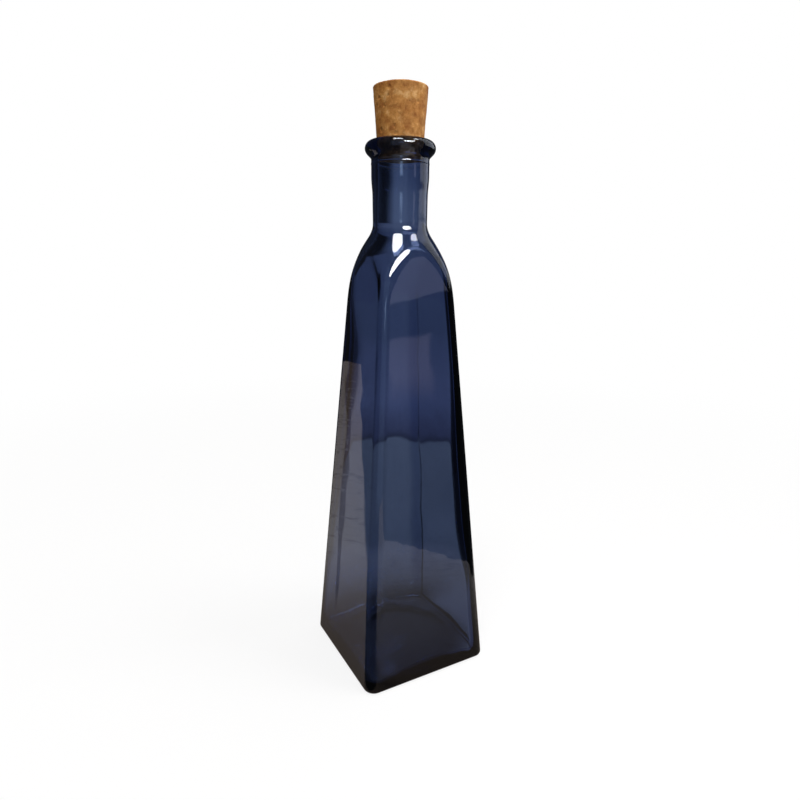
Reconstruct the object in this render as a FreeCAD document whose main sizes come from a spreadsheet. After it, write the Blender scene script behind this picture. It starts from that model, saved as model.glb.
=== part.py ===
import FreeCAD, Part
import os
import re

import Sketcher
from FreeCAD import Placement, Rotation, Vector

# A square, tapering glass bottle with a tapered cork. Millimetres, +Z up, origin on the table
# under the middle of the base. The flat faces look along X and Y.
DIMENSIONS = {
    # Glass, outside
    "base_width": 60.0,          # across the flats where they would meet the table
    "taper": 0.0769,             # each face leans in by this much for each millimetre of height
    "base_corner": 5.0,          # radius of the upright corners at the base
    "shoulder_corner": 3.4,      # and where the walls end under the neck
    "heel_round": 1.5,
    "pushup_radius": 24.3,       # hollow under the base
    "pushup_depth": 4.0,
    "pushup_round": 1.5,
    "shoulder_arc": 88.0,        # radius of the turned shoulder's curve
    "shoulder_slope": 36.8,      # degrees from upright where the shoulder leaves the neck
    "shoulder_low": 155.6,       # height where the turned shoulder has passed the corners
    "arch_round": 2.5,           # softens the arch between shoulder and face
    "neck_root": 190.4,          # height where the neck leaves the shoulder
    "neck_root_round": 4.5,
    "neck_radius": 11.1,
    "neck_swell_low": 204.6,     # the neck swells a little between these heights
    "neck_swell_high": 211.1,
    "finish_radius": 11.72,      # neck under the lip
    "lip_radius": 14.23,
    "lip_bead": 2.9,             # radius of the lip's rounded rim
    "lip_top": 224.8,
    "lip_root_round": 1.5,
    # Glass, inside
    "wall_base": 3.0,
    "wall_shoulder": 2.4,
    "inner_base_corner": 4.5,
    "inner_shoulder_corner": 3.2,
    "floor_middle": 7.2,         # height of the inner floor in the middle, where it is pushed up
    "floor_ball": 120.0,         # radius of the ball that the pushed-up floor is a part of
    "floor_low": 1.0,            # where the inner walls would start, below the whole floor
    "floor_round": 2.0,
    "bore_radius": 9.25,
    "seat_radius": 9.37,         # narrowest ring of the mouth, where the cork seats
    "seat_depth": 3.0,
    "mouth_radius": 9.7,
    "mouth_round": 0.9,
    # Cork
    "cork_length": 27.0,
    "cork_top_radius": 11.1,
    "cork_foot_radius": 9.0,
    "cork_top": 244.6,
    "cork_round": 0.6,
}

NAMES = {name: f"Dimensions.{name}" for name in DIMENSIONS}

doc = FreeCAD.newDocument("CorkedBottle")
sheet = doc.addObject("Spreadsheet::Sheet", "Dimensions")
for row, (name, value) in enumerate(DIMENSIONS.items(), start=1):
    sheet.set(f"A{row}", name)
    sheet.set(f"B{row}", str(value))
    sheet.setAlias(f"B{row}", name)
doc.recompute()


def expand(expression):
    """Put the sheet's name in front of each driving dimension in an expression."""
    return re.sub(r"[a-z_]+", lambda word: NAMES.get(word[0], word[0]), expression)


def origin_plane(body, role):
    return next(item for item in body.Origin.OriginFeatures if item.Role == role)


def new_sketch(body, name, role="XZ_Plane", height=None):
    """A sketch on one of the body's own planes; height lifts a level sketch."""
    sketch = body.newObject("Sketcher::SketchObject", name)
    sketch.AttachmentSupport = [(origin_plane(body, role), "")]
    sketch.MapMode = "FlatFace"
    if height:
        sketch.setExpression("AttachmentOffset.Base.z", expand(height))
    doc.recompute()
    return sketch


def place_point(sketch, geometry, end, across, along):
    """Hold one end of a line or arc at a place that the sheet gives."""
    for kind, axis, expression in (("DistanceX", -2, across), ("DistanceY", -1, along)):
        if expression == "0":
            sketch.addConstraint(Sketcher.Constraint("PointOnObject", geometry, end, axis))
            continue
        value = float(sketch.evalExpression(expand(expression)))
        index = sketch.addConstraint(Sketcher.Constraint(kind, -1, 1, geometry, end, value))
        sketch.setExpression(f"Constraints[{index}]", expand(expression))


def add_outline(sketch, corners, arcs):
    """Close an outline through corners, each a pair of expressions.

    arcs gives, for the side that leaves a corner, the arc's radius and +1 where it bulges to the
    right of the direction of travel or -1 where it bulges to the left. Other sides are straight.
    """
    points = [Vector(*(float(sketch.evalExpression(expand(part))) for part in corner), 0)
              for corner in corners]
    sides = []
    for number, start in enumerate(points):
        finish = points[(number + 1) % len(points)]
        if number not in arcs:
            geometry = sketch.addGeometry(Part.LineSegment(start, finish), False)
            sides.append((geometry, 1, 2))
            continue
        radius_text, bulge = arcs[number]
        radius = float(sketch.evalExpression(expand(radius_text)))
        chord = finish - start
        sagitta = radius - (radius ** 2 - (chord.Length / 2) ** 2) ** 0.5
        outward = Vector(chord.y, -chord.x, 0).normalize() * (bulge * sagitta)
        geometry = sketch.addGeometry(Part.Arc(start, start + chord * 0.5 + outward, finish), False)
        index = sketch.addConstraint(Sketcher.Constraint("Radius", geometry, radius))
        sketch.setExpression(f"Constraints[{index}]", expand(radius_text))
        forward = sketch.getPoint(geometry, 1).distanceToPoint(start) < 1e-6
        sides.append((geometry, 1, 2) if forward else (geometry, 2, 1))
    for number, (geometry, first, last) in enumerate(sides):
        following, following_first, _ = sides[(number + 1) % len(sides)]
        sketch.addConstraint(
            Sketcher.Constraint("Coincident", geometry, last, following, following_first))
        place_point(sketch, geometry, first, *corners[number])
    doc.recompute()


def rounded_square(body, name, height, half_width, corner):
    """A level square with rounded corners, its middle on the axis."""
    sketch = new_sketch(body, name, "XY_Plane", height)
    near = f"( {half_width} - {corner} )"
    corners = []
    for quarter in range(4):
        first, second = (half_width, f"-1 * {near}"), (half_width, near)
        for _ in range(quarter):
            first = (f"-1 * ( {first[1]} )", first[0])
            second = (f"-1 * ( {second[1]} )", second[0])
        corners += [first, second]
    add_outline(sketch, corners, {side: (corner, 1) for side in (1, 3, 5, 7)})
    return sketch


def add_loft(body, name, lower, upper):
    loft = body.newObject("PartDesign::AdditiveLoft", name)
    loft.Profile = lower
    loft.Sections = [upper]
    loft.Ruled = True
    doc.recompute()
    return loft


def turn(body, kind, name, corners, arcs):
    """Revolve an outline about the axis; a groove has to take glass away, a revolution add it."""
    before = body.Shape.Volume if body.Tip else 0
    sketch = new_sketch(body, f"{name}Outline")
    add_outline(sketch, corners, arcs)
    feature = body.newObject(f"PartDesign::{kind}", name)
    feature.Profile = sketch
    feature.ReferenceAxis = (sketch, ["V_Axis"])
    feature.Angle = 360
    doc.recompute()
    grew = body.Shape.Volume > before
    if grew != (kind == "Revolution"):
        raise RuntimeError(f"{name} did not change the body as it should")
    return feature


def round_edges(body, name, radius, wanted):
    """Fillet the edges for which wanted(edge) is true."""
    base = body.Tip
    names = [f"Edge{number}" for number, edge in enumerate(base.Shape.Edges, start=1)
             if wanted(edge)]
    if not names:
        raise RuntimeError(f"{name} found no edge to round")
    fillet = body.newObject("PartDesign::Fillet", name)
    fillet.Base = (base, names)
    fillet.setExpression("Radius", expand(radius))
    doc.recompute()
    return fillet


def value_of(expression):
    return float(sheet.evalExpression(expand(expression)))


def at_height(height, reach=None):
    """A test for level edges at a height, or only those that reach this far from the axis."""
    def test(edge):
        box = edge.BoundBox
        level = abs(box.ZMin - value_of(height)) < 1e-3 and abs(box.ZMax - value_of(height)) < 1e-3
        return level and (reach is None or abs(box.XMax - value_of(reach)) < 0.02)
    return test


def is_arch(edge):
    """The curved line where the turned shoulder meets the flat faces and their corners."""
    box = edge.BoundBox
    return (box.ZMin > value_of("shoulder_low") and box.ZMax < value_of("neck_root - 1")
            and 1e-3 < box.ZLength < 25)


def is_floor_edge(edge):
    """The curved line where the domed inner floor meets the walls and their corners."""
    return edge.BoundBox.ZMax < value_of("floor_middle - 1")


def is_lip_root(edge):
    """The circle where the lip's underside meets the neck."""
    box = edge.BoundBox
    return (box.ZLength < 1e-3 and box.ZMin > value_of("neck_swell_high + 0.1")
            and abs(box.XMax - value_of("finish_radius")) < 1e-3)


SHOULDER_MIDDLE = "( neck_radius - shoulder_arc * cos( shoulder_slope ) )"
SHOULDER_CENTRE = "( neck_root - shoulder_arc * sin( shoulder_slope ) )"


def shoulder_radius(arc, height):
    """Radius of the turned shoulder at a height, for its outer or inner curve."""
    return f"{SHOULDER_MIDDLE} + sqrt( {arc} ^ 2 - ( {height} - {SHOULDER_CENTRE} ) ^ 2 )"


def shoulder_height(arc, radius):
    """Height at which the shoulder's curve has come in to a radius."""
    return f"{SHOULDER_CENTRE} + sqrt( {arc} ^ 2 - ( {radius} - {SHOULDER_MIDDLE} ) ^ 2 )"


def cap_radius(rim, rise):
    """Radius of the ball whose cap has this rim radius and rise."""
    return f"( ( {rim} ^ 2 + {rise} ^ 2 ) / ( 2 * {rise} ) )"


def make_outside():
    """The bottle as a solid lump: tapering walls, turned shoulder, neck and lip."""
    body = doc.addObject("PartDesign::Body", "Outside")
    base = rounded_square(body, "BaseSection", None, "( base_width / 2 )", "base_corner")
    top_half = "( base_width / 2 - taper * neck_root )"
    top = rounded_square(body, "TopSection", "neck_root", top_half, "shoulder_corner")
    add_loft(body, "Walls", base, top)
    clear = "base_width"
    turn(body, "Groove", "Shoulder", [
        ("neck_radius", "neck_root"),
        (shoulder_radius("shoulder_arc", "shoulder_low"), "shoulder_low"),
        (clear, "shoulder_low"),
        (clear, "neck_root + 1"),
        ("neck_radius", "neck_root + 1"),
    ], {0: ("shoulder_arc", -1)})
    round_edges(body, "ArchRound", "arch_round", is_arch)
    bead_side = "( lip_radius - lip_bead * ( 1 - cos( 45 ) ) )"
    bead_low = "( lip_top - lip_bead * ( 1 + sin( 45 ) ) )"
    turn(body, "Revolution", "Neck", [
        ("0", "neck_root - 5"),
        ("neck_radius", "neck_root - 5"),
        ("neck_radius", "neck_root"),
        ("neck_radius + 0.15", "neck_swell_low"),
        ("finish_radius", "neck_swell_high"),
        ("finish_radius", f"{bead_low} - ( {bead_side} - finish_radius )"),
        (bead_side, bead_low),
        ("lip_radius - lip_bead", "lip_top"),
        ("0", "lip_top"),
    ], {6: ("lip_bead", 1)})
    round_edges(body, "NeckRootRound", "neck_root_round", at_height("neck_root", "neck_radius"))
    round_edges(body, "LipRootRound", "lip_root_round", is_lip_root)
    turn(body, "Groove", "PushUp", [
        ("0", "0"),
        ("pushup_radius", "0"),
        ("0", "pushup_depth"),
    ], {1: (cap_radius("pushup_radius", "pushup_depth"), 1)})
    round_edges(body, "PushUpRound", "pushup_round", at_height("0", "pushup_radius"))
    round_edges(body, "HeelRound", "heel_round", at_height("0", "base_width / 2"))
    return body


def make_cavity():
    """The space inside: domed floor, walls, shoulder, bore and the mouth the cork seats in."""
    body = doc.addObject("PartDesign::Body", "Cavity")
    base_half = "( base_width / 2 - taper * floor_low - wall_base )"
    top_half = "( base_width / 2 - taper * neck_root - wall_shoulder )"
    base = rounded_square(body, "FloorSection", "floor_low", base_half, "inner_base_corner")
    top = rounded_square(body, "InnerTopSection", "neck_root", top_half, "inner_shoulder_corner")
    add_loft(body, "InnerWalls", base, top)
    arc = "( shoulder_arc - wall_shoulder )"
    root = shoulder_height(arc, "bore_radius")
    turn(body, "Groove", "InnerShoulder", [
        ("bore_radius", root),
        (shoulder_radius(arc, "shoulder_low"), "shoulder_low"),
        ("base_width", "shoulder_low"),
        ("base_width", "neck_root + 1"),
        ("bore_radius", "neck_root + 1"),
    ], {0: (arc, -1)})
    round_edges(body, "InnerArchRound", "arch_round", is_arch)
    seat = "( lip_top - seat_depth )"
    turn(body, "Revolution", "Bore", [
        ("0", "neck_root - 5"),
        ("bore_radius", "neck_root - 5"),
        ("bore_radius", "neck_root"),
        ("seat_radius", seat),
        ("mouth_radius", "lip_top - mouth_round"),
        ("mouth_radius + mouth_round", "lip_top"),
        ("mouth_radius + mouth_round", "lip_top + 1"),
        ("0", "lip_top + 1"),
    ], {4: ("mouth_round", -1)})
    rise = "( floor_middle - floor_low )"
    turn(body, "Groove", "FloorDome", [
        ("0", "floor_low"),
        (f"sqrt( floor_ball ^ 2 - ( floor_ball - {rise} ) ^ 2 )", "floor_low"),
        ("0", "floor_middle"),
    ], {1: ("floor_ball", 1)})
    round_edges(body, "FloorRound", "floor_round", is_floor_edge)
    return body


def make_bottle():
    """The glass is the outside less the space inside."""
    bottle = doc.addObject("Part::Cut", "GlassBottle")
    bottle.Base = make_outside()
    bottle.Tool = make_cavity()
    bottle.Label = "glass_bottle"
    return bottle


def make_cork():
    """A tapered cork, turned about the bottle's axis and pushed part of the way in."""
    body = doc.addObject("PartDesign::Body", "Cork")
    body.Label = "cork_stopper"
    foot = "( cork_top - cork_length )"
    turn(body, "Revolution", "CorkTaper", [
        ("0", foot),
        ("cork_foot_radius", foot),
        ("cork_top_radius", "cork_top"),
        ("0", "cork_top"),
    ], {})
    round_edges(body, "CorkFootRound", "cork_round", at_height(foot))
    round_edges(body, "CorkTopRound", "cork_round", at_height("cork_top"))
    return body


sub_parts = [make_bottle(), make_cork()]
for part in sub_parts:
    part.Placement = Placement(Vector(0, 0, 0), Rotation())
doc.recompute()

for item in doc.Objects:
    if "Invalid" in item.State or "Error" in item.State:
        raise RuntimeError(f"{item.Name} failed: {item.State}")
for part in sub_parts:
    if part.Shape.isNull() or not part.Shape.isValid():
        raise RuntimeError(f"{part.Label} has no valid shape")

os.makedirs("parts", exist_ok=True)
for part in sub_parts:
    part.Shape.exportStep(f"parts/{part.Label}.step")
    print(part.Label, round(part.Shape.Volume, 1), "cubic millimetres")
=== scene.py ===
import math

import bpy
import numpy as np
from mathutils import Matrix, Vector, noise


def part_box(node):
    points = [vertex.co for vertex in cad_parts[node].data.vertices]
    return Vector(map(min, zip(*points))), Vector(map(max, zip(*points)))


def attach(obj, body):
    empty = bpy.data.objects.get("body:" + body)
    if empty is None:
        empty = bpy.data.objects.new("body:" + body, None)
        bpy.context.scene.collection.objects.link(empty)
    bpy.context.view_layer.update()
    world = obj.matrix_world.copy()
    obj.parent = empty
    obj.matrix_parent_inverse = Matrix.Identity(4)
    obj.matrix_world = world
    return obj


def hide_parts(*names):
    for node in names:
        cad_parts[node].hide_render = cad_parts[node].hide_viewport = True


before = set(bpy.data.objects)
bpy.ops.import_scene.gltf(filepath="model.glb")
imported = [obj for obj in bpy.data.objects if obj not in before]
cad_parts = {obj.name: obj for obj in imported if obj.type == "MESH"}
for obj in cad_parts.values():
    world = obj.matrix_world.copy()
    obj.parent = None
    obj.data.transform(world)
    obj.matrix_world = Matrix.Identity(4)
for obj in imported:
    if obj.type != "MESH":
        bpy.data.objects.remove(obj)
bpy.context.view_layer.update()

# Lengths are in millimetres up to the mesh calls, which turn them into the frame's metres.
MM = 0.001
glass_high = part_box("glass_bottle")[1] / MM
cork_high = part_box("cork_stopper")[1] / MM

# ---------------------------------------------------------------- glass, driving dimensions
# Heights are named _Z, and are measured from the surface that the bottle stands on.
HALF_BASE = 30.0              # half the width across the flats where they would meet the table
TAPER = 0.0769                # how far a face leans in for each millimetre of height
CORNER_BASE, CORNER_TOP = 5.0, 3.4
HEEL = 1.5
PUSHUP_RADIUS, PUSHUP_DEPTH = 24.3, 4.0
FOOT_RADIUS = 24.5            # where the flat that it stands on starts, round the push-up
NECK_ROOT_Z, NECK_RADIUS = 190.4, 11.1
NECK_FLARE, FLARE_HEIGHT = 0.15, 14.2  # how much wider the neck gets, and over what height
FINISH_Z, FINISH_RISE = 203.5, 8.5     # where it starts to widen to the finish, and over what height
FINISH_RADIUS = 11.72
FINISH_PLAIN_Z = 215.0        # above this the finish is turned as arcs, up to the lip
SHOULDER_START_Z = 150.0      # below this the outside is only the flat walls
SHOULDER_ARC, SHOULDER_SLOPE = 88.0, math.radians(36.8)
SHOULDER_R = NECK_RADIUS - SHOULDER_ARC * math.cos(SHOULDER_SLOPE)
SHOULDER_Z = NECK_ROOT_Z - SHOULDER_ARC * math.sin(SHOULDER_SLOPE)
SHOULDER_BLEND, NECK_BLEND = 2.4, 2.2
COLLAR_Z, COLLAR_RISE, COLLAR_WIDTH = 216.1, 0.10, 0.28    # the fine mould line under the lip
LIP_TOP_Z = glass_high.z
LIP_RADIUS, LIP_BEAD, LIP_HOLLOW = 14.23, 2.9, 1.5

WALL_BASE, WALL_TOP = 3.0, 2.4
INNER_CORNER_BASE, INNER_CORNER_TOP = 4.5, 3.2
NEAR_SHARE, FAR_SHARE = 0.85, 1.28     # the near and far corners are this much as round inside
LEFT_THICK, RIGHT_THICK = 1.8, 0.9     # glass ran thick in the other two: this much rounder inside
LEFT_SPAN = (30, 100, 165, 25)         # start and rise, stop and fall, as within() takes them
RIGHT_SPAN = (36, 30, 140, 50)
INNER_SHOULDER_START_Z = 145.0
INNER_SHOULDER_BLEND, INNER_NECK_BLEND = 1.2, 1.6
INNER_LOW_Z = 158.0           # below this the inner walls need few rings
FLOOR_MIDDLE_Z, FLOOR_BALL = 7.2, 120.0
FLOOR_LOW_Z = 1.0             # where the inner walls would start, below the whole floor
FLOOR_EDGE_Z, FLOOR_ROUND = 8.0, 2.6
BORE_RADIUS, SEAT_RADIUS, SEAT_DEPTH = 9.25, 9.37, 3.0
BORE_TOP_Z = 215.5
MOUTH_RADIUS, MOUTH_ROUND = 9.7, 0.9

# Waviness of the inside: how far it moves, how wide the waves are, and which waves.
WALL_WAVES = ((0.16, 17, 1), (0.05, 7, 2))
FLOOR_EDGE_WAVES = (0.5, 5.5, 3)
CALM_DEPTH, CALM_FADE = 12, 20         # the mouth stays true to this depth, then the waves grow
FLOOR_WAVES_Z, FLOOR_WAVES_FADE = 16, 8
FLOOR_WAVES_RADIUS, FLOOR_WAVES_WIDTH = 19, 6


def column_angles():
    """Polar angles of the mesh's upright columns: closer together at the four corners."""
    quarter = np.concatenate([
        np.linspace(-45, -36, 15, endpoint=False),
        np.linspace(-36, 36, 42, endpoint=False),
        np.linspace(36, 45, 15, endpoint=False),
    ])
    return np.radians(np.concatenate([quarter + turn for turn in (0, 90, 180, 270)]))


ANGLES = column_angles()
COS, SIN = np.cos(ANGLES), np.sin(ANGLES)
IS_NEAR, IS_FAR = (COS < 0) & (SIN < 0), (COS > 0) & (SIN > 0)
IS_LEFT, IS_RIGHT = (COS < 0) & (SIN > 0), (COS > 0) & (SIN < 0)
INNER_SHARE = np.select([IS_NEAR, IS_FAR], [NEAR_SHARE, FAR_SHARE], 1.0)


def ease(share):
    """From 0 to 1 with no kink at either end."""
    share = np.clip(share, 0, 1)
    return share * share * (3 - 2 * share)


def within(z, start, rise, stop, fall):
    """1 between two heights and 0 outside them, eased in over the rise and out over the fall."""
    return ease((z - start) / rise) * ease((stop - z) / fall)


def soft_min(a, b, blend):
    """The smaller of two radii, rounded over where they cross."""
    h = np.clip(0.5 + 0.5 * (b - a) / blend, 0, 1)
    return b * (1 - h) + a * h - blend * h * (1 - h)


def soft_max(a, b, blend):
    """The larger of two radii, with the crossing filled in."""
    return -soft_min(-a, -b, blend)


def square_radius(half, corner):
    """Distance from the axis to a rounded square, for every column."""
    near, far = np.minimum(abs(COS), abs(SIN)), np.maximum(abs(COS), abs(SIN))
    flat = half / far
    middle = half - corner
    reach = middle * (near + far)
    inside = np.maximum(reach ** 2 - (2 * middle ** 2 - corner ** 2), 0)
    rounded = reach + np.sqrt(inside)
    return np.where(flat * near > middle, rounded, flat)


def shoulder_radius(z, inset=0.0):
    """Radius of the arc that the shoulder is turned with, or of the same arc inside the glass."""
    arc = SHOULDER_ARC - inset
    return SHOULDER_R + np.sqrt(np.maximum(arc ** 2 - (z - SHOULDER_Z) ** 2, 0))


def arc_points(middle, radius, start, stop, count):
    """Points (radius, height) round an arc in the profile, its angles in degrees."""
    steps = np.radians(np.linspace(start, stop, count))
    return [(middle[0] + radius * math.cos(a), middle[1] + radius * math.sin(a)) for a in steps]


def ring(radius, z):
    """One ring of the mesh, as rows of x, y, z; radius and z may differ from column to column."""
    return np.stack([radius * COS, radius * SIN, np.broadcast_to(z, ANGLES.shape)], axis=1)


def outer_walls(z):
    """Radius of the outside at a height on the walls, shoulder and lower neck."""
    share = min(z / NECK_ROOT_Z, 1)
    walls = square_radius(HALF_BASE - TAPER * z, CORNER_BASE + (CORNER_TOP - CORNER_BASE) * share)
    if z < SHOULDER_START_Z:
        return walls
    swell = np.clip((z - FINISH_Z) / FINISH_RISE, 0, 1)
    neck = NECK_RADIUS + NECK_FLARE * (z - NECK_ROOT_Z) / FLARE_HEIGHT * (1 - swell)
    neck += (FINISH_RADIUS - NECK_RADIUS) * ease(swell)
    body = soft_min(walls, shoulder_radius(z), SHOULDER_BLEND)
    return soft_max(body, neck, NECK_BLEND)


def inner_walls(z):
    """Radius of the inside at a height on the walls, shoulder and bore."""
    share = (z - FLOOR_LOW_Z) / (NECK_ROOT_Z - FLOOR_LOW_Z)
    half = HALF_BASE - TAPER * z - (WALL_BASE + (WALL_TOP - WALL_BASE) * share)
    corner = INNER_CORNER_BASE + (INNER_CORNER_TOP - INNER_CORNER_BASE) * share
    left = LEFT_THICK * within(z, *LEFT_SPAN)
    right = RIGHT_THICK * within(z, *RIGHT_SPAN)
    walls = square_radius(half, corner * (INNER_SHARE + left * IS_LEFT + right * IS_RIGHT))
    if z < INNER_SHOULDER_START_Z:
        return walls
    body = soft_min(walls, shoulder_radius(z, WALL_TOP), INNER_SHOULDER_BLEND)
    return soft_max(body, BORE_RADIUS, INNER_NECK_BLEND)


def ball_drop(ball, reach):
    """How far a ball's surface has fallen away at a distance from its top."""
    return ball - np.sqrt(ball ** 2 - reach ** 2)


def base_rings():
    """From the middle of the push-up out to the heel, ending on the walls."""
    ball = (PUSHUP_RADIUS ** 2 + PUSHUP_DEPTH ** 2) / (2 * PUSHUP_DEPTH)
    rings = []
    for r in (2, 5, 8, 11, 14, 17, 20, 22.4, 23.4, 23.9):
        rings.append(ring(r, PUSHUP_DEPTH - ball_drop(ball, r)))
    rings.append(ring(PUSHUP_RADIUS, 0.05))
    lean = math.atan(TAPER)
    middle = (HALF_BASE * math.cos(lean) - HEEL * math.sin(lean) - HEEL) / math.cos(lean)
    foot = square_radius(middle, CORNER_BASE - HALF_BASE + middle)
    for share in (0.08, 0.5, 0.92):
        rings.append(ring(FOOT_RADIUS + (foot - FOOT_RADIUS) * share, 0))
    for angle in np.radians(np.linspace(-90, math.degrees(lean), 9)):
        half = middle + HEEL * math.cos(angle)
        z = HEEL + HEEL * math.sin(angle)
        corner = CORNER_BASE - (HALF_BASE - TAPER * z - half)
        rings.append(ring(square_radius(half, corner), z))
    return rings


def lip_rings():
    """The neck's finish, the lip and the mouth down to the seat; the lip's flank slopes at 45 degrees."""
    bead = (LIP_RADIUS - LIP_BEAD, LIP_TOP_Z - LIP_BEAD)
    side = (bead[0] + LIP_BEAD * math.cos(math.radians(45)),
            bead[1] - LIP_BEAD * math.sin(math.radians(45)))
    flank_foot = side[1] - (side[0] - FINISH_RADIUS)
    hollow_z = flank_foot - LIP_HOLLOW * math.tan(math.radians(22.5))
    points = [(FINISH_RADIUS + COLLAR_RISE * math.exp(-((z - COLLAR_Z) / COLLAR_WIDTH) ** 2), z)
              for z in np.arange(COLLAR_Z - 0.9, COLLAR_Z + 1.1, 0.12)]
    points += arc_points((FINISH_RADIUS + LIP_HOLLOW, hollow_z), LIP_HOLLOW, 180, 135, 6)
    points += arc_points(bead, LIP_BEAD, -45, 90, 22)
    mouth_z = LIP_TOP_Z - MOUTH_ROUND
    points += arc_points((MOUTH_RADIUS + MOUTH_ROUND, mouth_z), MOUTH_ROUND, 90, 180, 8)
    for share in (0.33, 0.66, 1.0):
        points.append((MOUTH_RADIUS + (SEAT_RADIUS - MOUTH_RADIUS) * share,
                       mouth_z + (MOUTH_ROUND - SEAT_DEPTH) * share))
    return [ring(np.full_like(ANGLES, r), z) for r, z in points]


def inside_rings():
    """From the bore down the inner walls, round the floor's edge and in to its middle."""
    shoulder_top = NECK_ROOT_Z + 0.1
    heights = np.concatenate([np.arange(BORE_TOP_Z, shoulder_top + 0.5, -3),
                              np.arange(shoulder_top, INNER_LOW_Z, -0.9)])
    rings = [ring(inner_walls(z), z) for z in heights]
    start = inner_walls(FLOOR_EDGE_Z) - FLOOR_ROUND
    slope = np.arcsin(start / FLOOR_BALL)
    middle_z = FLOOR_MIDDLE_Z - ball_drop(FLOOR_BALL, start) + FLOOR_ROUND * np.cos(slope)
    for share in np.linspace(0, 1, 56)[1:-1]:
        z = INNER_LOW_Z + (middle_z - INNER_LOW_Z) * share
        rings.append(ring(np.array([inner_walls(h)[i] for i, h in enumerate(z)]), z))
    for turn in np.linspace(0, 1, 9):
        angle = turn * (math.pi / 2 - slope)
        rings.append(ring(start + FLOOR_ROUND * np.cos(angle), middle_z - FLOOR_ROUND * np.sin(angle)))
    for share in (0.93, 0.85, 0.75, 0.64, 0.52, 0.4, 0.28, 0.17, 0.07):
        r = start * share
        rings.append(ring(r, FLOOR_MIDDLE_Z - ball_drop(FLOOR_BALL, r)))
    return rings


def ripple(points, amplitude, size, seed):
    """Slow, smooth noise from about -amplitude to amplitude, for the waviness of blown glass."""
    shift = Vector((seed * 7.3, seed * 3.1, seed * 5.7))
    return amplitude * np.array([noise.noise(Vector(p) / size + shift) for p in points])


def outward_from_axis(points):
    """Level unit vectors from the axis to each point."""
    level = points * (1, 1, 0)
    return level / np.linalg.norm(level, axis=1)[:, None]


def join_rings(name, rings, bottom, top):
    """A closed mesh from rings in order, each with as many points, and a point at each end."""
    columns = len(rings[0])
    points = np.concatenate([[bottom], *rings, [top]])
    first = 1 + np.arange(len(rings))[:, None] * columns + np.arange(columns)
    beside = np.roll(first, -1, axis=1)
    quads = np.stack([first[:-1], beside[:-1], beside[1:], first[1:]], axis=-1).reshape(-1, 4)
    last = len(points) - 1
    fans = [(0, b, a) for a, b in zip(first[0], beside[0])]
    fans += [(last, a, b) for a, b in zip(first[-1], beside[-1])]
    mesh = bpy.data.meshes.new(name)
    mesh.from_pydata(points * MM, [], [tuple(map(int, q)) for q in quads] + fans)
    mesh.validate()
    mesh.update()
    mesh.shade_smooth()
    piece = bpy.data.objects.new(name, mesh)
    bpy.context.scene.collection.objects.link(piece)
    return piece


def add_waves(rings):
    """Blown glass's waviness: the inner walls move in and out, and the floor's edge up and down."""
    points = np.concatenate(rings)
    push = sum(ripple(points, *waves) for waves in WALL_WAVES)
    calm = np.clip((LIP_TOP_Z - CALM_DEPTH - points[:, 2]) / CALM_FADE, 0, 1)
    points += outward_from_axis(points) * (push * calm)[:, None]
    out = np.linalg.norm(points[:, :2], axis=1)
    low = np.clip((FLOOR_WAVES_Z - points[:, 2]) / FLOOR_WAVES_FADE, 0, 1)
    low *= np.clip((out - FLOOR_WAVES_RADIUS) / FLOOR_WAVES_WIDTH, 0, 1)
    points[:, 2] += ripple(points, *FLOOR_EDGE_WAVES) * low
    return list(points.reshape(-1, len(ANGLES), 3))


def build_glass():
    """The bottle as one closed skin: under the base, up the outside, over the lip, down the inside."""
    heights = np.concatenate([np.linspace(2.5, SHOULDER_START_Z, 50),
                              np.arange(SHOULDER_START_Z + 1, 193, 0.6),
                              np.arange(193.5, FINISH_PLAIN_Z, 1.0)])
    outside = base_rings() + [ring(outer_walls(z), z) for z in heights] + lip_rings()
    return join_rings("blue_glass_bottle", outside + add_waves(inside_rings()),
                      (0, 0, PUSHUP_DEPTH), (0, 0, FLOOR_MIDDLE_Z))


# ---------------------------------------------------------------- cork
CORK_LENGTH = 27.0
CORK_TOP_Z = cork_high.z
CORK_FOOT_Z = CORK_TOP_Z - CORK_LENGTH
CORK_TOP_RADIUS = cork_high.x
CORK_FOOT_RADIUS = 9.0
CORK_ROUND = 0.6
CORK_COLUMNS, CORK_ROWS = 300, 130
SEATED_WEAR = 0.4                      # what the mouth holds is worn only this much

GRANULE, CREVICE_SHARE, CREVICE_DEPTH = 2.3, 0.16, 0.05    # granules with crevices round them
LOST_GRANULE, PIT_SHARE, PIT_DEPTH = 3.9, 0.24, 0.36       # and pits where some came out
WORN_HOLLOW, WORN_DEPTH = 5.5, 0.18
FINE_GRAIN, FINE_DEPTH = 0.55, 0.07
GRANULE_BEND, BEND_SIZE = 0.9, 2.1     # how far granules are pushed out of shape, and over what size


def cork_profile():
    """Points (radius, height) from the middle of the foot, up the side and in over the top."""
    foot, top = CORK_FOOT_RADIUS - CORK_ROUND, CORK_TOP_RADIUS - CORK_ROUND
    profile = [(r, CORK_FOOT_Z) for r in np.linspace(0.4, foot, 12)]
    profile += arc_points((foot, CORK_FOOT_Z + CORK_ROUND), CORK_ROUND, -80, -5, 4)
    for share in np.linspace(0.03, 0.965, CORK_ROWS):
        profile.append((CORK_FOOT_RADIUS + (CORK_TOP_RADIUS - CORK_FOOT_RADIUS) * share,
                        CORK_FOOT_Z + CORK_LENGTH * share))
    profile += arc_points((top, CORK_TOP_Z - CORK_ROUND), CORK_ROUND, 5, 85, 6)
    profile += [(r, CORK_TOP_Z) for r in np.linspace(top - 0.2, 0.4, 40)]
    return np.array(profile)


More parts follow.
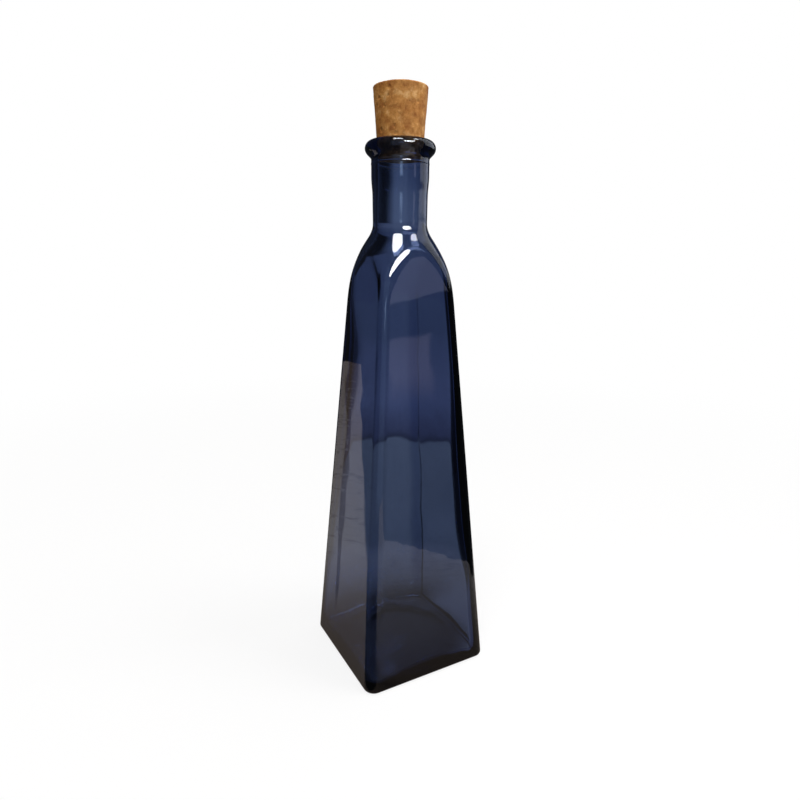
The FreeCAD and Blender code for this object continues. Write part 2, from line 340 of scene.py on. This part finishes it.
def cork_depth(points):
    """How far each point is sunk: crevices between granules, worn hollows and a few lost granules."""
    depth = np.empty(len(points))
    for i, p in enumerate(points):
        p = Vector(p)
        bend = Vector([noise.noise(p / BEND_SIZE + Vector(shift))
                       for shift in ((0, 0, 0), (9, 4, 2), (3, 8, 5))]) * GRANULE_BEND
        distances, _ = noise.voronoi((p + bend) / GRANULE)
        crevice = max(0.0, 1 - (distances[1] - distances[0]) / CREVICE_SHARE)
        pits, _ = noise.voronoi((p + bend * 0.6) / LOST_GRANULE + Vector((1.7, 5.2, 0.4)))
        pit = max(0.0, 1 - pits[0] / PIT_SHARE)
        worn = 0.5 + 0.5 * noise.noise(p / WORN_HOLLOW)
        fine = 0.5 + 0.5 * noise.noise(p / FINE_GRAIN)
        depth[i] = CREVICE_DEPTH * crevice ** 1.5 + PIT_DEPTH * pit ** 0.7 * (worn > 0.5)
        depth[i] += WORN_DEPTH * worn + FINE_DEPTH * fine
    return depth


def build_cork():
    """The tapered cork, its skin sunk at right angles to its outline."""
    around = np.linspace(0, 2 * math.pi, CORK_COLUMNS, endpoint=False)
    profile = cork_profile()
    points = np.array([(r * math.cos(a), r * math.sin(a), z) for r, z in profile for a in around])
    slope = np.gradient(profile, axis=0)
    normal = np.stack([slope[:, 1], -slope[:, 0]], axis=1)
    normal /= np.linalg.norm(normal, axis=1)[:, None]
    normal = np.repeat(normal, CORK_COLUMNS, axis=0)
    direction = outward_from_axis(points) * normal[:, :1] + np.array((0, 0, 1)) * normal[:, 1:]
    seated = np.clip((LIP_TOP_Z - 0.5 - points[:, 2]) / 2, 0, 1)
    wear = 1 - (1 - SEATED_WEAR) * seated
    points -= direction * (cork_depth(points) * wear)[:, None]
    return join_rings("agglomerated_cork", list(points.reshape(-1, CORK_COLUMNS, 3)),
                      (0, 0, CORK_FOOT_Z), (0, 0, CORK_TOP_Z - 0.05))


# ---------------------------------------------------------------- the way the camera faces
HEADING = math.radians(28.81)         # turned from +Y towards +X
FORWARD = Vector((math.sin(HEADING), math.cos(HEADING), 0))
RIGHTWARD = Vector((math.cos(HEADING), -math.sin(HEADING), 0))


# ---------------------------------------------------------------- materials
def new_material(name):
    """A material with its nodes, its links and its shader."""
    material = bpy.data.materials.new(name)
    material.use_nodes = True
    nodes = material.node_tree.nodes
    links = material.node_tree.links
    return material, nodes, links, nodes["Principled BSDF"]


def ramp_node(nodes, links, value, stops):
    """A colour ramp over a value from 0 to 1.

    Each stop is a place and a colour or a grey; the lowest and the highest stop come first.
    """
    ramp = nodes.new("ShaderNodeValToRGB")
    links.new(value, ramp.inputs["Fac"])
    elements = ramp.color_ramp.elements
    for index, (position, colour) in enumerate(stops):
        element = elements[index] if index < 2 else elements.new(position)
        element.position = position
        element.color = (*colour, 1) if isinstance(colour, tuple) else (colour, colour, colour, 1)
    return ramp.outputs["Color"]


def maths(nodes, links, operation, *values):
    """One Math node; each value is a number or another node's output."""
    node = nodes.new("ShaderNodeMath")
    node.operation = operation
    for socket, value in zip(node.inputs, values):
        if isinstance(value, (int, float)):
            socket.default_value = value
        else:
            links.new(value, socket)
    return node.outputs["Value"]


def along(nodes, links, vector, axis):
    """How far a vector reaches along an axis."""
    dot = nodes.new("ShaderNodeVectorMath")
    dot.operation = "DOT_PRODUCT"
    dot.inputs[1].default_value = axis
    links.new(vector, dot.inputs[0])
    return dot.outputs["Value"]


def reach_of(nodes, links, vector):
    """A vector's length."""
    length = nodes.new("ShaderNodeVectorMath")
    length.operation = "LENGTH"
    links.new(vector, length.inputs[0])
    return length.outputs["Value"]


def bearing_share(nodes, links, vector):
    """Bearing round the room as 0 to 1, with 0.5 along FORWARD and more to the right of it."""
    angle = maths(nodes, links, "ARCTAN2", along(nodes, links, vector, RIGHTWARD),
                  along(nodes, links, vector, FORWARD))
    return maths(nodes, links, "ADD", maths(nodes, links, "DIVIDE", angle, 2 * math.pi), 0.5)


def mask(nodes, links, value, low, high):
    """0 below low, 1 above high; the other way round where low is the larger."""
    step = nodes.new("ShaderNodeMapRange")
    step.interpolation_type = "SMOOTHSTEP"
    links.new(value, step.inputs["Value"])
    step.inputs["From Min"].default_value = min(low, high)
    step.inputs["From Max"].default_value = max(low, high)
    step.inputs["To Min"].default_value = float(low > high)
    step.inputs["To Max"].default_value = float(low < high)
    return step.outputs["Result"]


def product(nodes, links, first, *rest):
    """All the values multiplied together."""
    for value in rest:
        first = maths(nodes, links, "MULTIPLY", first, value)
    return first


def mix_colours(nodes, links, factor, first, second, blend="MIX"):
    mix = nodes.new("ShaderNodeMix")
    mix.data_type = "RGBA"
    mix.blend_type = blend
    for socket, value in zip((mix.inputs["Factor"], mix.inputs[6], mix.inputs[7]),
                             (factor, first, second)):
        if isinstance(value, (int, float, tuple)):
            socket.default_value = (*value, 1) if isinstance(value, tuple) else value
        else:
            links.new(value, socket)
    return mix.outputs[2]


def mix_shaders(nodes, links, factor, first, second):
    mix = nodes.new("ShaderNodeMixShader")
    links.new(factor, mix.inputs[0])
    links.new(first, mix.inputs[1])
    links.new(second, mix.inputs[2])
    return mix.outputs[0]


def emission(nodes, links, colour):
    node = nodes.new("ShaderNodeEmission")
    links.new(colour, node.inputs["Color"])
    return node.outputs[0]


def noise_node(nodes, links, vector, scale, detail, roughness=0.5, output="Fac"):
    texture = nodes.new("ShaderNodeTexNoise")
    texture.inputs["Scale"].default_value = scale
    texture.inputs["Detail"].default_value = detail
    texture.inputs["Roughness"].default_value = roughness
    links.new(vector, texture.inputs["Vector"])
    return texture.outputs[output]


def map_range(nodes, links, value, span, onto):
    node = nodes.new("ShaderNodeMapRange")
    links.new(value, node.inputs["Value"])
    node.inputs["From Min"].default_value, node.inputs["From Max"].default_value = span
    node.inputs["To Min"].default_value, node.inputs["To Max"].default_value = onto
    return node.outputs["Result"]


def add_bump(nodes, links, shader, height, strength, distance):
    bump = nodes.new("ShaderNodeBump")
    bump.inputs["Strength"].default_value = strength
    bump.inputs["Distance"].default_value = distance
    links.new(height, bump.inputs["Height"])
    links.new(bump.outputs["Normal"], shader.inputs["Normal"])


def glass_material():
    """Clear and glossy with a faint haze; the colour comes from what the glass absorbs."""
    material, nodes, links, shader = new_material("navy_blue_glass")
    shader.inputs["Base Color"].default_value = (1, 1, 1, 1)
    shader.inputs["Transmission Weight"].default_value = 1.0
    shader.inputs["IOR"].default_value = 1.51
    place = nodes.new("ShaderNodeTexCoord").outputs["Object"]
    haze = noise_node(nodes, links, place, 60, 4)
    links.new(map_range(nodes, links, haze, (0.45, 0.8), (0.0, 0.035)), shader.inputs["Roughness"])
    add_bump(nodes, links, shader, noise_node(nodes, links, place, 45, 1), 0.12, 0.0006)
    tint = nodes.new("ShaderNodeVolumeAbsorption")
    tint.inputs["Color"].default_value = (0.11, 0.235, 0.52, 1)
    tint.inputs["Density"].default_value = 450
    links.new(tint.outputs["Volume"], nodes["Material Output"].inputs["Volume"])
    return material


def cork_material():
    """Pressed cork: soft mottling, a few pale and dark granules and fine dark pores."""
    material, nodes, links, shader = new_material("agglomerated_cork")
    place = nodes.new("ShaderNodeTexCoord").outputs["Object"]
    mottle = noise_node(nodes, links, place, 240, 5, 0.64)
    colour = ramp_node(nodes, links, mottle, (
        (0.33, (0.34, 0.115, 0.020)), (0.68, (0.80, 0.47, 0.185)), (0.45, (0.46, 0.190, 0.040)),
        (0.55, (0.58, 0.270, 0.068))))
    granules = nodes.new("ShaderNodeTexVoronoi")
    granules.feature = "SMOOTH_F1"
    granules.inputs["Scale"].default_value = 380
    granules.inputs["Smoothness"].default_value = 0.35
    warp = nodes.new("ShaderNodeVectorMath")
    warp.operation = "MULTIPLY_ADD"
    warp.inputs[1].default_value = (0.0024, 0.0024, 0.0024)
    links.new(noise_node(nodes, links, place, 380, 3, output="Color"), warp.inputs[0])
    links.new(place, warp.inputs[2])
    links.new(warp.outputs["Vector"], granules.inputs["Vector"])
    tone = nodes.new("ShaderNodeSeparateColor")
    links.new(granules.outputs["Color"], tone.inputs["Color"])
    grain = ramp_node(nodes, links, tone.outputs["Red"], (
        (0.1, (0.70, 0.62, 0.55)), (0.95, (1.22, 1.26, 1.3)), (0.4, (0.98, 0.97, 0.96))))
    colour = mix_colours(nodes, links, 0.55, colour, grain, "MULTIPLY")
    pores = noise_node(nodes, links, place, 1500, 4, 0.7)
    pore_shade = ramp_node(nodes, links, pores, ((0.30, (0.34, 0.22, 0.14)), (0.43, 1.0)))
    colour = mix_colours(nodes, links, 0.5, colour, pore_shade, "MULTIPLY")
    links.new(colour, shader.inputs["Base Color"])
    shader.inputs["Specular IOR Level"].default_value = 0.2
    links.new(map_range(nodes, links, pores, (0.0, 1.0), (0.75, 0.95)), shader.inputs["Roughness"])
    add_bump(nodes, links, shader, pores, 0.45, 0.0003)
    return material


# ---------------------------------------------------------------- pieces
bottle = build_glass()
bottle.data.materials.append(glass_material())
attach(bottle, "bottle")
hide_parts("glass_bottle")

cork = build_cork()
cork.data.materials.append(cork_material())
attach(cork, "stopper")
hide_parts("cork_stopper")


# ---------------------------------------------------------------- studio
# From here on lengths are in metres. Only mirrored and passed light shows the dim room, which is
# drawn by bearing_share and by distance from the bottle; a straight look shows white.
AIM = Vector((0, 0, 0.17))             # what the cards and panels stand round and face
PANEL_DISTANCE = 1.1
FLOOR_REACH, FLOOR_DROP, FLOOR_SIDES = 2.5, 0.0001, 96
WHITE = (1.0, 1.0, 1.0)
DIM_FLOOR, DIM_ROOM = (0.03, 0.033, 0.04), (0.03, 0.034, 0.045)
BEHIND_CAMERA = (0.22, 0.30, 0.48)
FAR_LEFT_DARK, CEILING = (0.06, 0.07, 0.10), (0.06, 0.07, 0.08)
ROOM_WALL, ROOM_WALL_FOOT = (0.23, 0.28, 0.36), (0.19, 0.225, 0.30)
LIT_SIDE = (100, 10)                   # bearing and elevation of the middle of the soft light
LIT, UNLIT = (0.92, 0.9, 0.88), (0.05, 0.05, 0.055)
RINGS_REACH = 1.25                     # the rings on the floor are placed as shares of this
BESIDE_FOOT = (0.66, 0.62, 0.52)       # the lit table just to the right of the bottle's foot
BELOW_BOTTLE = (0.8, 0.8, 0.8)
PLANK_ACROSS = (0.907, 0.42, 0)        # level direction across the plank
PLANK_LEFT, PLANK_LEFT_SOFT = -0.04125, 0.00125
PLANK_RIGHT, PLANK_RIGHT_SOFT = 0.007, 0.005
SEAM_AT, SEAM_TINT = -0.0234, (0.42, 0.36, 0.28)
WRINKLE = (0.42, 0.38, 0.38)
SHADE_EDGE_ACROSS = (0.958, -0.287, 0)      # level direction from the pale table into the painted dark shade
SHADE_EDGE, SHADE_EDGE_SOFT, SHADE_EDGE_FRAY = 0.1325, 0.0005, 0.020


def room_shade(nodes, links, vector):
    """How light the room is, by bearing: dark to either side, and darker just left of ahead."""
    return ramp_node(nodes, links, bearing_share(nodes, links, vector), (
        (0.0, 0.8), (1.0, 0.8), (0.27, 0.8), (0.32, 0.06), (0.36, 0.08), (0.40, 0.2), (0.42, 0.35),
        (0.437, 0.03), (0.482, 0.03), (0.494, 0.9), (0.53, 0.85), (0.6, 0.8), (0.64, 0.6), (0.66, 0.08),
        (0.73, 0.06), (0.78, 0.8)))


def behind_camera(nodes, links, vector):
    """1 for the part of the room that the near corner and the neck mirror."""
    share = bearing_share(nodes, links, vector)
    return maths(nodes, links, "MAXIMUM", mask(nodes, links, share, 0.10, 0.06),
                 mask(nodes, links, share, 0.90, 0.94))


def table_shade(nodes, links, place):
    """The same for the table top: lit straight ahead and behind, dark to either side."""
    return ramp_node(nodes, links, bearing_share(nodes, links, place), (
        (0.0, 0.85), (1.0, 0.85), (0.27, 0.85), (0.32, 0.12), (0.39, 0.12), (0.41, 0.5), (0.455, 0.75),
        (0.49, 0.95), (0.53, 0.95), (0.58, 0.85), (0.605, 0.12), (0.73, 0.12), (0.78, 0.85)))


def painted_floor_through_glass(nodes, links, place, reach):
    """Painted light for the glass to pass: a dark ring at the bottle's foot, partly the table's dark
    colour and partly painted shadow, a lit patch beside it, a table's edge and the room.
    """
    # the dark stops near the foot are painted shadow as well as the table's dark colour
    rings = ramp_node(nodes, links, maths(nodes, links, "DIVIDE", reach, RINGS_REACH), (
        (0.0, (0.15, 0.13, 0.10)), (1.0, (0.22, 0.26, 0.32)), (0.022, (0.16, 0.145, 0.11)),
        (0.034, (0.12, 0.105, 0.085)), (0.050, (0.48, 0.45, 0.38)), (0.072, (0.70, 0.66, 0.55)),
        (0.084, (0.45, 0.46, 0.40)), (0.255, (0.47, 0.48, 0.42)), (0.262, (0.12, 0.12, 0.14)),
        (0.28, (0.22, 0.22, 0.27)), (0.38, (0.36, 0.38, 0.46))))
    share = bearing_share(nodes, links, place)
    beside = product(nodes, links, mask(nodes, links, share, 0.55, 0.61),
                     mask(nodes, links, reach, 0.024, 0.042), mask(nodes, links, reach, 0.080, 0.060))
    rings = mix_colours(nodes, links, beside, rings, BESIDE_FOOT)
    shade = mix_colours(nodes, links, mask(nodes, links, reach, 0.08, 0.13), BELOW_BOTTLE,
                        table_shade(nodes, links, place))
    seen = mix_colours(nodes, links, 1.0, rings, shade, "MULTIPLY")
    # painted dark far off to the left, in the light the glass passes
    far_left_dark = product(nodes, links, mask(nodes, links, reach, 0.80, 0.95),
                       mask(nodes, links, share, 0.448, 0.430))
    return mix_colours(nodes, links, far_left_dark, seen, FAR_LEFT_DARK)


def painted_floor_reflection(nodes, links, place, reach):
    """Painted reflection for the glass to mirror: a pale table with painted contact shadow at the foot and
    painted dark shade to the right, and a pale plank to the left.
    """
    # painted contact shadow: the mirrored table darkens towards the bottle's foot
    pale = ramp_node(nodes, links, reach, (
        (0.0, (0.16, 0.13, 0.115)), (1.0, (0.50, 0.44, 0.43)), (0.05, (0.24, 0.20, 0.18)),
        (0.14, (0.62, 0.59, 0.60)), (0.3, (0.62, 0.57, 0.59))))
    across = along(nodes, links, place, PLANK_ACROSS)
    rightward = along(nodes, links, place, RIGHTWARD)
    on_left = mask(nodes, links, rightward, 0.01, -0.01)
    on_right = mask(nodes, links, rightward, -0.01, 0.01)
    # a brown seam runs down the plank, and thin wrinkles cross it
    aside = maths(nodes, links, "ABSOLUTE", maths(nodes, links, "SUBTRACT", across, SEAM_AT))
    seam = mask(nodes, links, maths(nodes, links, "DIVIDE", aside, reach), 0.013, 0.006)
    seam = product(nodes, links, seam, on_left, mask(nodes, links, reach, 0.055, 0.085))
    browned = mix_colours(nodes, links, 1.0, pale, SEAM_TINT, "MULTIPLY")
    pale = mix_colours(nodes, links, seam, pale, browned)
    spread = nodes.new("ShaderNodeCombineXYZ")
    links.new(product(nodes, links, maths(nodes, links, "LOGARITHM", reach, math.e), 11), spread.inputs[0])
    links.new(product(nodes, links, across, 22), spread.inputs[1])
    wrinkle = noise_node(nodes, links, spread.outputs["Vector"], 1, 2)
    wrinkle = maths(nodes, links, "ABSOLUTE", maths(nodes, links, "SUBTRACT", wrinkle, 0.5))
    wrinkle = product(nodes, links, mask(nodes, links, wrinkle, 0.022, 0.0),
                      mask(nodes, links, reach, 0.08, 0.16))
    pale = mix_colours(nodes, links, wrinkle, pale, WRINKLE)
    # the plank lies to the left, and on the right the pale table ends at a frayed edge of painted dark
    # shade
    left = mask(nodes, links, across, PLANK_LEFT - PLANK_LEFT_SOFT, PLANK_LEFT + PLANK_LEFT_SOFT)
    right = mask(nodes, links, across, PLANK_RIGHT + PLANK_RIGHT_SOFT, PLANK_RIGHT - PLANK_RIGHT_SOFT)
    plank = product(nodes, links, left, right, on_left, mask(nodes, links, reach, 1.33, 1.30))
    fray = product(nodes, links, noise_node(nodes, links, place, 110, 8, 0.72), SHADE_EDGE_FRAY)
    to_shade_edge = maths(nodes, links, "ADD", along(nodes, links, place, SHADE_EDGE_ACROSS), fray)
    unshaded = mask(nodes, links, to_shade_edge, SHADE_EDGE + SHADE_EDGE_SOFT, SHADE_EDGE - SHADE_EDGE_SOFT)
    table = product(nodes, links, mask(nodes, links, reach, 0.42, 0.38), on_right, unshaded)
    behind = product(nodes, links, behind_camera(nodes, links, place), mask(nodes, links, reach, 0.3, 0.5))
    # painted dark shade beyond the pale table, and the painted room behind the camera
    dim = mix_colours(nodes, links, behind, DIM_FLOOR, BEHIND_CAMERA)
    return mix_colours(nodes, links, maths(nodes, links, "MAXIMUM", table, plank), dim, pale)


def floor_material():
    """Pale and plain to look at; to the glass it glows with a painted table in a dimmer room, as painted
    reflections and painted light passed through.
    """
    material, nodes, links, shader = new_material("pale_floor")
    shader.inputs["Base Color"].default_value = (0.88, 0.88, 0.88, 1)
    shader.inputs["Roughness"].default_value = 0.9
    shader.inputs["Specular IOR Level"].default_value = 0.1
    place = nodes.new("ShaderNodeNewGeometry").outputs["Position"]
    reach = reach_of(nodes, links, place)
    path = nodes.new("ShaderNodeLightPath")
    glow = mix_colours(nodes, links, path.outputs["Is Diffuse Ray"], WHITE, (0.14, 0.12, 0.11))
    whiten = map_range(nodes, links, mask(nodes, links, reach, 0.10, 0.75), (0, 1), (0.8, 1))
    seen = mix_shaders(nodes, links, whiten, shader.outputs[0], emission(nodes, links, glow))
    seen = mix_shaders(nodes, links, path.outputs["Is Glossy Ray"], seen,
                       emission(nodes, links, painted_floor_reflection(nodes, links, place, reach)))
    seen = mix_shaders(nodes, links, path.outputs["Is Transmission Ray"], seen,
                       emission(nodes, links, painted_floor_through_glass(nodes, links, place, reach)))
    links.new(seen, nodes["Material Output"].inputs["Surface"])
    return material


def build_floor():
    mesh = bpy.data.meshes.new("studio_floor")
    rim = [(FLOOR_REACH * math.cos(a), FLOOR_REACH * math.sin(a), -FLOOR_DROP)
           for a in np.linspace(0, 2 * math.pi, FLOOR_SIDES, endpoint=False)]
    mesh.from_pydata(rim, [], [tuple(range(FLOOR_SIDES))])
    floor = bpy.data.objects.new("studio_floor", mesh)
    bpy.context.scene.collection.objects.link(floor)
    mesh.materials.append(floor_material())


def toward(bearing, elevation):
    """Unit vector for a bearing, in degrees to the right of FORWARD, and an elevation in degrees."""
    bearing, elevation = math.radians(bearing), math.radians(elevation)
    level = FORWARD * math.cos(bearing) + RIGHTWARD * math.sin(bearing)
    return level * math.cos(elevation) + Vector((0, 0, math.sin(elevation)))


def add_card(name, corners, distance, colour, soft, wobble=0.0):
    """A soft-edged glowing card round the bottle, which shows only where the glass mirrors it.

    corners are four bearings and elevations, lower edge first; soft is how much of its width or
    height the sides, the foot and the top take to fade, and wobble how far the edges wander.
    """
    mesh = bpy.data.meshes.new(name)
    mesh.from_pydata([AIM + toward(*corner) * distance for corner in corners], [], [(0, 1, 2, 3)])
    edges = mesh.uv_layers.new(name="edges")
    for loop, place in zip(edges.data, ((0, 0), (1, 0), (1, 1), (0, 1))):
        loop.uv = place
    card = bpy.data.objects.new(name, mesh)
    bpy.context.scene.collection.objects.link(card)
    material = bpy.data.materials.new(name)
    material.use_nodes = True
    nodes, links = material.node_tree.nodes, material.node_tree.links
    nodes.clear()
    place = nodes.new("ShaderNodeUVMap").outputs["UV"]
    wander = maths(nodes, links, "SUBTRACT", noise_node(nodes, links, place, 5, 3), 0.5)
    shift = product(nodes, links, wander, wobble)
    sides, foot, top = soft
    cover = 1.0
    for axis, low, high in (((1, 0, 0), sides, sides), ((0, 1, 0), foot, top)):
        across = maths(nodes, links, "ADD", along(nodes, links, place, axis), shift)
        cover = product(nodes, links, cover, mask(nodes, links, across, 0, low),
                        mask(nodes, links, across, 1, 1 - high))
    glow = nodes.new("ShaderNodeEmission")
    glow.inputs["Color"].default_value = (*colour, 1)
    clear = nodes.new("ShaderNodeBsdfTransparent")
    output = nodes.new("ShaderNodeOutputMaterial")
    links.new(mix_shaders(nodes, links, cover, clear.outputs[0], glow.outputs[0]),
              output.inputs["Surface"])
    mesh.materials.append(material)
    card.visible_camera = False
    card.visible_diffuse = False
    card.visible_shadow = False
    card.visible_transmission = False
    return card


def add_light(name, bearing, elevation, size, power):
    """A soft panel that faces the bottle."""
    data = bpy.data.lights.new(name, "AREA")
    data.shape = "ELLIPSE"
    data.size, data.size_y = size
    data.energy = power
    light = bpy.data.objects.new(name, data)
    bpy.context.scene.collection.objects.link(light)
    away = toward(bearing, elevation)
    light.location = AIM + away * PANEL_DISTANCE
    light.rotation_euler = away.to_track_quat("Z", "Y").to_euler()
    return light


def build_world():
    """White to look at, soft light from the right, and a dim room in and through the glass."""
    world = bpy.data.worlds.new("studio")
    bpy.context.scene.world = world
    world.use_nodes = True
    nodes, links = world.node_tree.nodes, world.node_tree.links
    path = nodes.new("ShaderNodeLightPath")
    way = nodes.new("ShaderNodeTexCoord").outputs["Generated"]
    height = along(nodes, links, way, (0, 0, 1))
    wall = mix_colours(nodes, links, mask(nodes, links, height, 0.03, 0.07), ROOM_WALL_FOOT, ROOM_WALL)
    shade = mix_colours(nodes, links, mask(nodes, links, height, 0.0, 0.045),
                        table_shade(nodes, links, way), room_shade(nodes, links, way))
    passed = mix_colours(nodes, links, 1.0, wall, shade, "MULTIPLY")
    passed = mix_colours(nodes, links, mask(nodes, links, height, 0.22, 0.32), passed, CEILING)
    side = mask(nodes, links, along(nodes, links, way, toward(*LIT_SIDE)), -0.9, 0.9)
    lit = mix_colours(nodes, links, side, UNLIT, LIT)
    shown = mix_colours(nodes, links, path.outputs["Is Camera Ray"], lit, WHITE)
    mirrored = mix_colours(nodes, links, behind_camera(nodes, links, way), DIM_ROOM, BEHIND_CAMERA)
    shown = mix_colours(nodes, links, path.outputs["Is Glossy Ray"], shown, mirrored)
    shown = mix_colours(nodes, links, path.outputs["Is Transmission Ray"], shown, passed)
    links.new(shown, nodes["Background"].inputs["Color"])


CAMERA_PLACE = (-0.12007, -0.21931, 0.1779)
CAMERA_TIP, CAMERA_ROLL = math.radians(13.07), math.radians(0.358)
CAMERA_LENS, CAMERA_SHIFT = 26.27, -0.003


def add_camera():
    """Close in front of the bottle's near corner, tipped down to take in the base."""
    data = bpy.data.cameras.new("camera")
    data.sensor_width = 36.0
    data.lens = CAMERA_LENS
    data.shift_y = CAMERA_SHIFT
    data.clip_start = 0.01
    camera = bpy.data.objects.new("camera", data)
    bpy.context.scene.collection.objects.link(camera)
    forward = FORWARD * math.cos(CAMERA_TIP) - Vector((0, 0, math.sin(CAMERA_TIP)))
    up = RIGHTWARD.cross(forward)
    right_rolled = RIGHTWARD * math.cos(CAMERA_ROLL) + up * math.sin(CAMERA_ROLL)
    up_rolled = up * math.cos(CAMERA_ROLL) - RIGHTWARD * math.sin(CAMERA_ROLL)
    turn = Matrix((right_rolled, up_rolled, -forward)).transposed()
    camera.matrix_world = Matrix.Translation(CAMERA_PLACE) @ turn.to_4x4()
    bpy.context.scene.camera = camera


build_floor()
build_world()
add_card("cool_wall", ((124.8, 3.3), (115.5, 4.9), (115, 16), (126, 16)), distance=1.5,
         colour=(0.62, 0.64, 0.88), soft=(0.01, 0.02, 0.02), wobble=0.02)
add_card("pale_patch", ((125.9, -9.4), (119.6, -9.4), (119.6, 0.0), (125.9, -1.0)), distance=0.95,
         colour=(0.54, 0.50, 0.68), soft=(0.15, 0.5, 0.07), wobble=0.05)
add_card("right_wall", ((40, 5.6), (98, 5.6), (98, 62), (40, 62)), distance=0.35,
         colour=(1.0, 1.05, 1.15), soft=(0.06, 0.06, 0.06))
add_card("doorway", ((184, 3.0), (168, 3.0), (168, 13), (184, 13)), distance=1.5,
         colour=(1.6, 2.3, 3.6), soft=(0.3, 0.3, 0.3), wobble=0.6)
add_light("overhead_panel", 192, 67, size=(0.44, 0.32), power=7)
add_light("side_panel", 98, 58, size=(0.42, 0.34), power=4)
# the window is a panel where the glass mirrors it, and a wide dimmer card where the glass passes it
window = add_light("window_panel", 150, 34, size=(0.66, 0.38), power=17)
window.visible_diffuse = False
window.visible_transmission = False
window_passed = add_card("behind_camera", ((166, 24), (98, 24), (98, 52), (166, 52)), distance=1.4,
                         colour=(9, 9.6, 10.2), soft=(0.15, 0.15, 0.15))
window_passed.visible_transmission = True
window_passed.visible_glossy = False
add_camera()
bpy.context.scene.view_settings.view_transform = "Standard"
